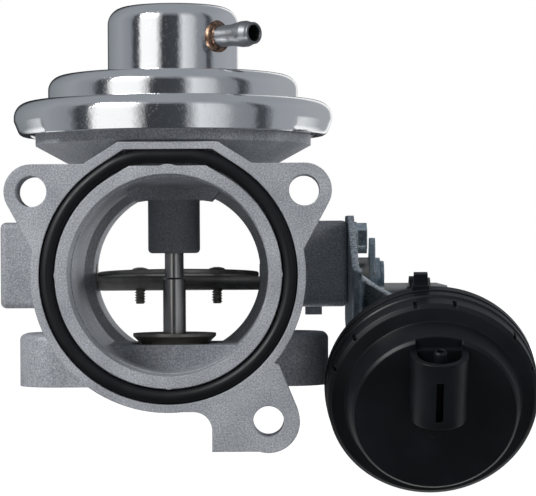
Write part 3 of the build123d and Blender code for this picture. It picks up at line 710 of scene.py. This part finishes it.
FINISH_OF_SLOT = {
    "cast_aluminium": CASTING, "ring_rubber": RUBBER, "hard_steel": GROUND_STEEL, "bronze": BRONZE,
    "bright_plating": BRIGHT, "satin_plating": SATIN_PLATE, "copper_braze": BRAZE,
    "membrane_rubber": MEMBRANE, "spring_steel": SPRING_STEEL, "zinc_sheet": ZINC,
    "shaft_steel": SHAFT_STEEL, "screw_steel": SCREW_STEEL, "blue_zinc": ZINC, "black_nylon": NYLON,
}
FINISH_OF_NODE = {"poppet": HEAD_STEEL, "crank_pin": PIN_STEEL, "bracket_screws": BRIGHT_ZINC,
                  "capsule_bracket": SHEARED_ZINC_LIT_EDGES}


# ---- cap
class Lip(Enum):
    """How the cap's edge is formed at an angle round it."""

    SKIRT = "straight skirt"
    CURL = "curled under the flange"


@dataclass(frozen=True)
class VacuumCap:
    """Stepped cap, deep-drawn from one sheet and crimped on the bowl, with its nipple.

    Attributes:
        sheet: Thickness of the sheet.
        cup_radius: Outside radius of the upper cup.
        tier_radius: Outside radius of the middle step.
        tier_drop: From the top down to the middle step.
        rim_drop: From the top down to the rim.
        lip_start: From the top down to where the lip begins.
        skirt_drop: From the top down to the end of the straight skirt.
        curl_drop: From the top down to the curled lip.
        curl_reach: Radius that the curled lip reaches in to.
        crimp_half_angle: Half the angle of each curled lip, left and right.
        notch_angle: Half width of the notch between lip and skirt.
        nipple_drop: From the top down to the nipple's axis.
        nipple_azimuth: Angle of the nipple from the front towards +X.
        nipple_end: From the cap's axis to the nipple's end.
        blend_angle: Half the angle over which the skirt becomes the lip.
        notch_share: Share of the edge's height that a notch takes.
        nipple_radii: Radii of the nipple's bore, tube, mouth and barb.
    """

    sheet: float = 1.5
    cup_radius: float = 18.8
    tier_radius: float = 36.0
    tier_drop: float = 19.8
    rim_drop: float = 27.4
    lip_start: float = 32.7
    skirt_drop: float = 37.2
    curl_drop: float = 36.35
    curl_reach: float = 41.4
    crimp_half_angle: float = 39.5
    notch_angle: float = 1.5
    nipple_drop: float = 9.6
    nipple_azimuth: float = 45.0
    nipple_end: float = 33.5
    blend_angle: float = 1.5
    notch_share: float = 0.12
    nipple_radii: tuple[float, float, float, float] = (2.3, 3.05, 3.1, 3.65)

    def seat(self) -> Seat:
        """The cap's axis, with its origin at the centre of the top."""
        low, high = box_of("vacuum_cap")
        return Seat((float(low[0] + high[0]) / 2, float(low[1] + high[1]) / 2, float(high[2])))

    def rim_radius(self) -> float:
        """Outside radius of the rim, in millimetres."""
        low, high = box_of("vacuum_cap")
        return float(high[0] - low[0]) / 2 / MM

    def tail(self, lip: Lip) -> np.ndarray:
        """Middle line of the cap's edge from the rim down.

        Args:
            lip: Straight skirt or curled lip.

        Returns:
            Points (radius, height), evenly spaced.
        """
        rim = self.rim_radius() - self.sheet / 2
        if lip is Lip.SKIRT:
            line = np.array([(rim, -self.lip_start), (rim - 0.5, -self.skirt_drop)])
        else:
            line = rounded([(rim, -self.lip_start), (rim - 1.5, -self.curl_drop),
                            (self.curl_reach, -self.curl_drop)], [1.1], steps=8)
        return points_at(line, np.linspace(0.0, distances(line)[-1], 14))

    def shell(self) -> np.ndarray:
        """Cap surface.

        The middle line is spun about the axis.  Below the rim it blends between a straight skirt, front
        and back, and a curled lip, left and right: (1 - w) skirt + w curl, with w a smooth step of the
        angle from the +X or -X direction.  At each change the edge is pulled up into a notch.

        Returns:
            Grid of points in millimetres about the cap's axis.
        """
        half = self.sheet / 2
        rim = self.rim_radius() - half
        cup, tier = self.cup_radius - half, self.tier_radius - half
        top = rounded([(0, -half), (cup, -half), (cup, -self.tier_drop - half),
                       (tier, -self.tier_drop - half), (tier, -self.rim_drop - half),
                       (rim - 0.6, -self.rim_drop - half),
                       (rim, -self.lip_start + 1.2), (rim, -self.lip_start)],
                      [4.2, 1.4, 3.4, 1.2, 3.6, 5.0], steps=12)
        top = dense(top, spacing=0.9)
        turns = full_turn(360)
        side = np.degrees(np.abs(np.arctan2(np.sin(turns), np.abs(np.cos(turns)))))
        past = side - self.crimp_half_angle
        curled = 1.0 - smooth_step(past, -self.blend_angle, self.blend_angle)
        cut = 1.0 - self.notch_share * np.exp(-(past / self.notch_angle) ** 4)
        skirt, curl = self.tail(Lip.SKIRT), self.tail(Lip.CURL)
        edge = (1 - curled)[:, None, None] * skirt + curled[:, None, None] * curl
        edge = edge[:, :1] + (edge - edge[:, :1]) * cut[:, None, None]
        middle = np.concatenate([np.broadcast_to(top[:-1], (len(turns), len(top) - 1, 2)), edge], axis=1)
        return spun(thickened(middle, self.sheet), turns)

    def nipple_seat(self) -> Seat:
        """The nipple's axis, with its origin on the cap's axis."""
        seat = self.seat()
        turn = radians(self.nipple_azimuth)
        return Seat((seat.origin[0], seat.origin[1], seat.origin[2] - self.nipple_drop * MM),
                    (0.0, 0.0, 1.0), (float(np.sin(turn)), float(-np.cos(turn)), 0.0))

    def nipple(self) -> np.ndarray:
        """Hose nipple: a closed tube profile with one rounded barb, spun about the nipple's axis."""
        root, end = self.cup_radius - 2.2, self.nipple_end
        barb = end - 4.6
        bore, tube, mouth, crest = self.nipple_radii
        outside = rounded([(bore, root), (tube, root), (tube, barb - 4.0), (crest, barb), (crest, barb + 1.6),
                           (mouth, end - 1.2), (mouth, end), (bore, end), (bore, root)],
                          [0.0, 1.5, 0.7, 0.7, 0.8, 0.35, 0.3], steps=5)
        return spun(dense(outside, spacing=0.5)[:-1], full_turn(64))

    def braze(self) -> np.ndarray:
        """Braze fillet: its skirt wanders by a few sine waves round the nipple, as molten metal does."""
        turns = full_turn(72)
        profile = rounded([(3.0, 17.0), (4.6, 17.0), (4.6, 19.4), (3.4, 19.8), (3.1, 20.6), (3.0, 17.0)],
                          [0.3, 1.3, 0.5, 0.1], steps=8)[:-1]
        wander = 1.0 + 0.02 * np.sin(3 * turns + 0.7) + 0.012 * np.sin(5 * turns + 2.1)
        grid = spun(profile, turns)
        outer = np.hypot(grid[..., 0], grid[..., 1])[..., None] > 3.2
        grid[..., :2] = np.where(outer, grid[..., :2] * wander[:, None, None], grid[..., :2])
        return grid

    def build(self) -> None:
        """Builds and dresses the cap, the nipple and its braze."""
        seat, port = self.seat(), self.nipple_seat()
        settle(surface("cap_shell", [seat.place(self.shell())]), "housing", BRIGHT, "bright_plating",
               "vacuum_cap")
        settle(surface("nipple_tube", [port.place(self.nipple())], wrap_v=True), "housing", SATIN_PLATE,
               "satin_plating", "hose_nipple")
        settle(surface("braze_fillet", [port.place(self.braze())], wrap_v=True), "housing", BRAZE,
               "copper_braze", "nipple_braze")


# ---- sealing ring
@dataclass(frozen=True)
class SealingRing:
    """O-ring in the manifold flange, whose groove runs straight under the crown.

    Attributes:
        wire_radius: Radius of the round section.
        flat_height: Height of the straight part's centre line above the ring's centre.
        flat_half: Half the width of the straight part between its corners.
        corner_round: Length over which a corner is eased, in degrees of the ring.
    """

    wire_radius: float = 1.95
    flat_height: float = 32.12
    flat_half: float = 11.2
    corner_round: float = 9.0

    def centre_radius(self, mean: float, turns: np.ndarray) -> np.ndarray:
        """Distance of the centre line from the ring's axis.

        With t the angle from the top, it is the circle's R, or R / cos(t - t1) on the line that leaves the
        circle at t1 for the corner, or h / cos(t) on the flat, whichever rules at t; corners are eased by
        averaging over a few degrees.

        Args:
            mean: Radius R of the round part.
            turns: Angles from +X towards the top.

        Returns:
            The radius at each angle.
        """

        def sharp(angle: np.ndarray) -> np.ndarray:
            """The line with its corners left sharp."""
            from_top = np.abs((angle - pi / 2 + pi) % (2 * pi) - pi)
            corner = float(np.arctan2(self.flat_half, self.flat_height))
            touch = corner + float(np.arccos(mean / np.hypot(self.flat_half, self.flat_height)))
            line = mean / np.cos(np.clip(touch - from_top, 0.0, touch - corner))
            flat = self.flat_height / np.cos(np.minimum(from_top, corner))
            return np.where(from_top < corner, flat, line)

        steps = np.radians(np.linspace(-self.corner_round, self.corner_round, 9))
        return np.mean([sharp(turns + step) for step in steps], axis=0)

    def build(self) -> None:
        """Builds and dresses the ring: centre line plus r (cos v outwards, sin v along the axis)."""
        low, high = box_of("manifold_o_ring")
        mean = float(high[0] - low[0]) / 2 / MM - self.wire_radius
        turns, v = full_turn(240), full_turn(28)
        line = self.centre_radius(mean, turns)
        profile = np.stack([line[:, None] + self.wire_radius * np.cos(v), self.wire_radius * np.sin(v)
                            + np.zeros((len(turns), 1))], axis=-1)
        centre_z = float(low[2]) + (mean + self.wire_radius) * MM
        seat = Seat((float(low[0] + high[0]) / 2, float(low[1] + high[1]) / 2, centre_z),
                    (1.0, 0.0, 0.0), (0.0, -1.0, 0.0))
        settle(surface("flange_ring", [seat.place(spun(profile, turns))], wrap_v=True), "housing", RUBBER,
               "ring_rubber", "manifold_o_ring")


# ---- flap screws
@dataclass(frozen=True)
class FlapScrews:
    """Two pan-head screws with rolled threads, drawn a little coarser than real ones so that they show.

    Attributes:
        spacing: Distance from each screw to the middle of the flap.
        lean: Angle of the open flap from level, front edge up, in degrees.
        plate: Thickness of the flap under the head.
        radius: Outside radius of the thread.
        depth: Depth of the thread.
        pitch: Pitch of the thread.
        length: Length below the head.
        head_radius: Radius of the head.
        head_height: Height of the head.
    """

    spacing: float = 11.7
    lean: float = 3.0
    plate: float = 1.45
    radius: float = 1.6
    depth: float = 0.38
    pitch: float = 0.8
    length: float = 9.45
    head_radius: float = 2.75
    head_height: float = 1.6

    def screw(self) -> np.ndarray:
        """One screw about its own axis, head upwards.

        The shank's radius is R - depth (1 - s), where s is a rounded saw of height / pitch - turn / 2 pi,
        which winds the thread round it.  The head's edge is rounded, and both ends close in a point.

        Returns:
            Grid of points in millimetres, with the head's seat at height 0.
        """
        turns = full_turn(40)
        tip = rounded([(0, -self.length), (self.radius - 0.35, -self.length),
                       (self.radius, -self.length + 0.5)], [0.2], steps=3)
        heights = np.linspace(-self.length + 0.6, -0.2, 150)
        shank = np.stack([np.full_like(heights, self.radius), heights], axis=1)
        head = rounded([(self.radius, 0.0), (self.head_radius, 0.0), (self.head_radius, 0.5),
                        (self.head_radius - 0.5, 1.25), (0.9, self.head_height), (0, self.head_height)],
                       [0.1, 0.3, 0.5, 0.6], steps=4)
        line = np.concatenate([tip, shank, head])
        grid = np.broadcast_to(line, (len(turns), *line.shape)).copy()
        wave = np.cos(2 * pi * grid[..., 1] / self.pitch - turns[:, None])
        fade = smooth_step(-grid[..., 1], 0.3, 1.0) * (grid[..., 0] > self.radius * 0.8)
        grid[..., 0] -= self.depth * fade * (0.5 - 0.5 * np.sign(wave) * np.abs(wave) ** 0.7)
        return spun(grid, turns)

    def build(self) -> None:
        """Builds and dresses both screws."""
        joints = frame["record"]["behaviour"]["joints"]
        hinge = np.array(next(joint["pos_m"] for joint in joints if joint["type"] == "hinge"))
        lean = radians(self.lean)
        up = (0.0, float(np.sin(lean)), float(np.cos(lean)))
        top = hinge + np.array(up) * self.plate * MM
        grids = [Seat((float(top[0]) + side * self.spacing * MM, float(top[1]), float(top[2])),
                      (1.0, 0.0, 0.0), up).place(self.screw()) for side in (-1, 1)]
        settle(surface("threaded_flap_screws", grids), "flap", SCREW_STEEL, "screw_steel", "flap_screws")


# ---- yielding pieces and plain nodes
@dataclass(frozen=True)
class YieldingPiece:
    """Spring or membrane with one end held in the housing and the other on a sliding body.

    Its shape is its node's, copied as it stands.

    Attributes:
        node: Frame node whose shape it takes.
        slot: Material slot of the record; not used.
        joint: Joint that moves its free end; not used.
        axis: Direction of travel; the held end lies furthest that way.  Not used.
        travel: Length of the travel, in millimetres; not used.
        body: Body named for a membrane's centre; a spring names none.  A piece that names one keeps its place,
            with its placement baked into the mesh; one that names none rides on the housing.
        centre_wall: Depth of a membrane that moves as one with the body; not used.
        rim_wall: Depth of a membrane that is clamped; not used.
    """

    node: str
    slot: str
    joint: str
    axis: Vector
    travel: float
    body: str = ""
    centre_wall: float = 0.0
    rim_wall: float = 0.0

    def build(self) -> None:
        """Copies and welds the node's mesh; a membrane's copy keeps its place, a spring's rides on the
        housing.
        """
        piece = add_object("yielding_" + self.node, frame["nodes"][self.node].data.copy())
        weld(piece.data)
        if self.body:
            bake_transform(piece)
        else:
            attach(piece, "housing")
            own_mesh(piece)
        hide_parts(self.node)
        LOG.info("%s: %d faces", piece.name, len(piece.data.polygons))


LIFT_AXIS = (0.0, 0.0, 1.0)
ROD_AXIS = (0.0, -0.92388, -0.382683)
YIELDING_PIECES = (
    YieldingPiece("valve_spring", "spring_steel", "valve_lift", LIFT_AXIS, 6.5),
    YieldingPiece("diaphragm", "membrane_rubber", "valve_lift", LIFT_AXIS, 6.5, "valve", 0.85, 1.65),
    YieldingPiece("capsule_spring", "spring_steel", "rod_slide", ROD_AXIS, 13.6),
    YieldingPiece("capsule_diaphragm", "membrane_rubber", "rod_slide", ROD_AXIS, 13.6, "rod", 0.75, 0.75),
)


def dress_frame() -> None:
    """Gives each frame node the finish of its slot, or its own where it differs."""
    for entry in frame["record"]["subparts"]:
        thing = frame["nodes"][entry["node"]]
        finish = FINISH_OF_NODE.get(entry["node"], FINISH_OF_SLOT[entry["material_slot"]])
        for slot in thing.material_slots:
            slot.material = finish.material()
        LOG.info("%s in %s", entry["node"], finish.name)


# ---- studio
@dataclass(frozen=True)
class SoftBox:
    """Square lamp that faces the object.

    Attributes:
        name: Name of the lamp.
        place: Where it stands, in metres.
        size: Side of the square, in metres.
        power: Power in watts.
        in_mirrors: Whether reflections show it.
        target: Point that it faces, in metres.
    """

    name: str
    place: Vector
    size: float
    power: float
    in_mirrors: bool = True
    target: Vector = (0.03, 0.04, 0.01)

    def build(self) -> None:
        """Adds the lamp, which the camera does not see."""
        light = bpy.data.lights.new(self.name, "AREA")
        light.size = self.size
        light.energy = self.power
        thing = add_object(self.name, light)
        thing.location = self.place
        thing.visible_glossy = self.in_mirrors
        thing.visible_camera = False
        aim = np.array(self.target) - np.array(self.place)
        flat = float(np.hypot(aim[0], aim[1]))
        thing.rotation_euler = (float(np.arctan2(flat, -aim[2])), 0.0,
                                float(np.arctan2(-aim[0], aim[1])))


@dataclass(frozen=True)
class Studio:
    """White sweep, three soft boxes and grey walls, with the camera that looks straight into the bore.

    Attributes:
        distance: From the flange face to the camera.
        eye_x: Camera's place across.
        eye_z: Camera's height.
        focal_px: Focal length in pixels.
        centre_px: Where the line of sight meets the image, from its top left.
        roll: Turn of the image, in degrees.
        ceiling: Colour of the ceiling.
        low_front: Colour low down in front of the object.
        low_back: Colour low down behind the object.
        wall_tones: Azimuth from the front towards +X, in degrees, and the wall's colour there.
        ceiling_rise: Heights where the ceiling begins and rules, in metres.
        floor_drop: Heights where the low colours begin and rule, in metres.
        depth: Places along Y between which the low colours change, in metres.
        surround: Strength of the surroundings on matt surfaces.
        floor_glow: Strength of the floor's own white.
        floor_share: Its share in what the camera sees.
        lamps: The soft boxes.
    """

    distance: float = 600.0
    eye_x: float = 25.4
    eye_z: float = 6.62
    focal_px: float = 2220.0
    centre_px: tuple[float, float] = (262.0, 250.0)
    roll: float = 0.36
    ceiling: str = "#8d9197"
    low_front: str = "#45474b"
    low_back: str = "#f4f5f6"
    wall_tones: tuple[tuple[float, str], ...] = (
        (-180.0, "#1e2024"), (-161.0, "#26282c"), (-154.0, "#7b8085"), (-105.0, "#93979c"), (-78.0, "#82868c"),
        (-71.0, "#34373c"), (-62.0, "#44474c"), (-56.0, "#ffffff"), (-28.0, "#fafafa"), (-17.0, "#34363b"),
        (10.0, "#3f4247"), (21.0, "#d9dbde"), (38.0, "#b9bcbf"), (47.0, "#85898e"), (62.0, "#7b7f85"),
        (66.0, "#3c3f44"), (72.0, "#46494e"), (80.0, "#92969c"), (120.0, "#9ea1a6"), (158.0, "#9ea2a7"),
        (163.0, "#f0f1f2"), (170.0, "#ffffff"), (173.0, "#4a4c50"), (180.0, "#26282c"))
    ceiling_rise: tuple[float, float] = (0.75, 1.35)
    floor_drop: tuple[float, float] = (-0.3, -0.7)
    depth: tuple[float, float] = (-0.6, 1.2)
    surround: float = 0.025
    floor_glow: float = 1.13
    floor_share: float = 0.9
    lamps: tuple[SoftBox, ...] = (
        SoftBox("key_box", (-0.44, -0.44, 0.42), 0.3, 4.4),
        SoftBox("fill_box", (0.93, -0.5, 0.2), 0.4, 3.5, in_mirrors=False),
        SoftBox("backdrop_glow", (0.4, 0.92, 0.05), 0.3, 12.0, in_mirrors=False))

    def camera(self) -> None:
        """Creates the camera, level and square to the flange."""
        lens = bpy.data.cameras.new("camera")
        lens.sensor_width = 36.0
        lens.lens = self.focal_px / IMAGE_WIDTH * lens.sensor_width
        lens.shift_x = (IMAGE_WIDTH / 2 - self.centre_px[0]) / IMAGE_WIDTH
        lens.shift_y = (self.centre_px[1] - IMAGE_HEIGHT / 2) / IMAGE_WIDTH
        lens.clip_start = 0.01
        eye = add_object("camera", lens)
        eye.location = (self.eye_x * MM, -self.distance * MM, self.eye_z * MM)
        eye.rotation_euler = (pi / 2, radians(self.roll), 0.0)
        bpy.context.scene.camera = eye

    def world(self) -> None:
        """Even white surroundings, full white only where the camera, metal or glass sees them."""
        world = bpy.data.worlds.new("white_sweep")
        tree = blank_tree(world)
        ray = add_node(tree, "LightPath").outputs
        seen = maths(tree, "MAXIMUM", ray["Is Camera Ray"], ray["Is Glossy Ray"])
        seen = maths(tree, "MAXIMUM", seen, ray["Is Transmission Ray"])
        level = spread(tree, seen, 0.0, 1.0, self.surround, 1.0)
        light = add_node(tree, "Background", {"Color": WHITE, "Strength": level})
        add_node(tree, "OutputWorld", {"Surface": light.outputs[0]})
        bpy.context.scene.world = world

    def walls(self) -> None:
        """Adds the studio's walls, which only reflections see.

        They are a sphere of radius R round the object.  Its light depends on the direction: the azimuth
        from the front towards +X picks the tone of the wall, soft box or gap, and steep directions
        fade to the grey of the ceiling and the floor.
        """
        radius = 1.7
        tilt = np.linspace(-pi / 2, pi / 2, 25)
        arc = radius * np.stack([np.cos(tilt), np.sin(tilt)], axis=1)
        dome = surface("studio_walls", [spun(arc, full_turn(48))])
        made = bpy.data.materials.new("studio_wall_paint")
        tree = blank_tree(made)
        place = add_node(tree, "TexCoord").outputs["Object"]
        axes = add_node(tree, "SeparateXYZ", {0: place}).outputs
        turn = maths(tree, "ARCTAN2", axes["X"], maths(tree, "MULTIPLY", axes["Y"], -1.0))
        share = spread(tree, turn, -pi, pi)
        tones = ramp(tree, share, [((angle + 180.0) / 360.0, code) for angle, code in self.wall_tones])
        low = ramp(tree, spread(tree, axes["Y"], *self.depth), [(0.3, self.low_front), (0.75, self.low_back)])
        seen = mix(tree, spread(tree, axes["Z"], *self.ceiling_rise), tones, linear(self.ceiling))
        seen = mix(tree, spread(tree, axes["Z"], *self.floor_drop), seen, low)
        glow = add_node(tree, "Emission", {"Color": seen, "Strength": 1.0})
        add_node(tree, "OutputMaterial", {"Surface": glow.outputs[0]})
        dome.data.materials.append(made)
        dome.visible_camera = dome.visible_diffuse = dome.visible_shadow = False
        dome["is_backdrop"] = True

    def floor(self) -> None:
        """Pale floor under the object: white to the camera, but it keeps a soft shadow."""
        low = float(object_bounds()[0][2])
        mesh = bpy.data.meshes.new("floor")
        half = 6.0
        corners = [(-half, -half, low), (half, -half, low), (half, half, low), (-half, half, low)]
        mesh.from_pydata(corners, [], [(0, 1, 2, 3)])
        made = bpy.data.materials.new("matt_white_floor")
        tree = blank_tree(made)
        matt = add_node(tree, "BsdfDiffuse", {"Color": linear("#f4f4f4")})
        white = add_node(tree, "Emission", {"Color": WHITE, "Strength": self.floor_glow})
        ray = add_node(tree, "LightPath").outputs
        seen = maths(tree, "MAXIMUM", ray["Is Camera Ray"], ray["Is Glossy Ray"])
        share = spread(tree, seen, 0.0, 1.0, 0.0, self.floor_share)
        both = add_node(tree, "MixShader", {0: share, 1: matt.outputs[0], 2: white.outputs[0]})
        add_node(tree, "OutputMaterial", {"Surface": both.outputs[0]})
        mesh.materials.append(made)
        thing = add_object("floor", mesh)
        thing.visible_glossy = False
        thing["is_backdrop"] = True

    def build(self) -> None:
        """Sets up the camera, the lamps, the walls and the floor."""
        bpy.context.scene.view_settings.view_transform = "Standard"
        self.camera()
        self.world()
        for lamp in self.lamps:
            lamp.build()
        self.walls()
        self.floor()


def main() -> None:
    """Builds the pieces in order."""
    logging.basicConfig(level=logging.INFO, format="%(message)s")
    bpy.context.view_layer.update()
    dress_frame()
    VacuumCap().build()
    SealingRing().build()
    FlapScrews().build()
    for piece in YIELDING_PIECES:
        piece.build()
    Studio().build()


if __name__ == "__main__":
    main()
